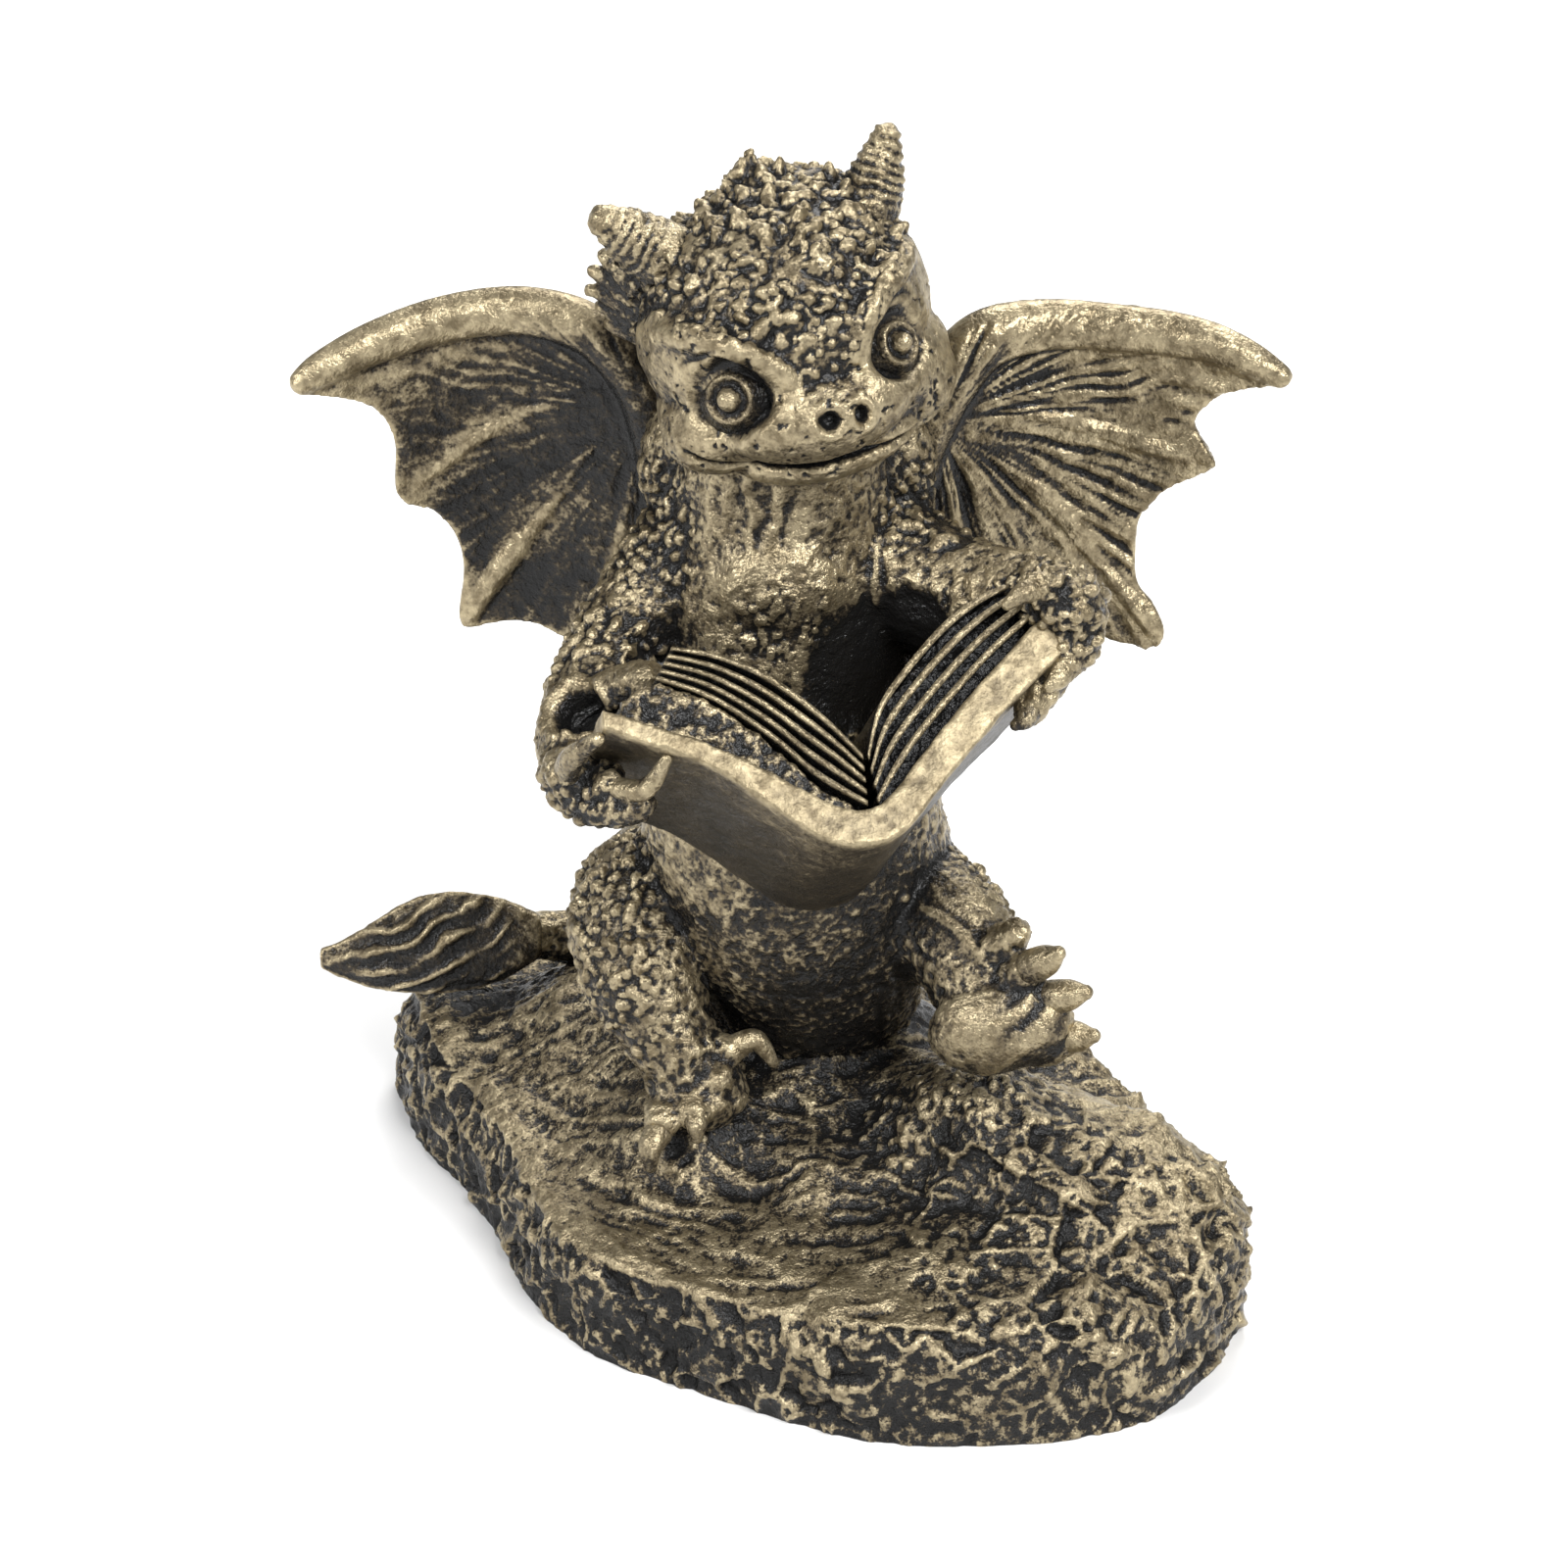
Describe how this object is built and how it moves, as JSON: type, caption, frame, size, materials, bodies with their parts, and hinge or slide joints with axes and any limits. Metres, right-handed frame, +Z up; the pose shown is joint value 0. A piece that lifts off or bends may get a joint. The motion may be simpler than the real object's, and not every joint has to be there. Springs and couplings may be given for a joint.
{
  "type": "dragon figurine",
  "caption": "Cast resin figurine of a horned baby dragon seated on a boulder, wings spread, reading an open book; flat underside.",
  "frame": {"origin": "on the table plane, under the middle of the figurine's box", "axes": "+Z up; -Y the way the dragon's body and the open book face; +X towards the dragon's left wing"},
  "size_m": [0.1068, 0.0826, 0.1275],
  "materials": {
    "resin": "black casting resin, dry-brushed with antique gold, satin"
  },
  "bodies": {
    "root": {"dragon_figurine": "resin"}
  },
  "joints": []
}
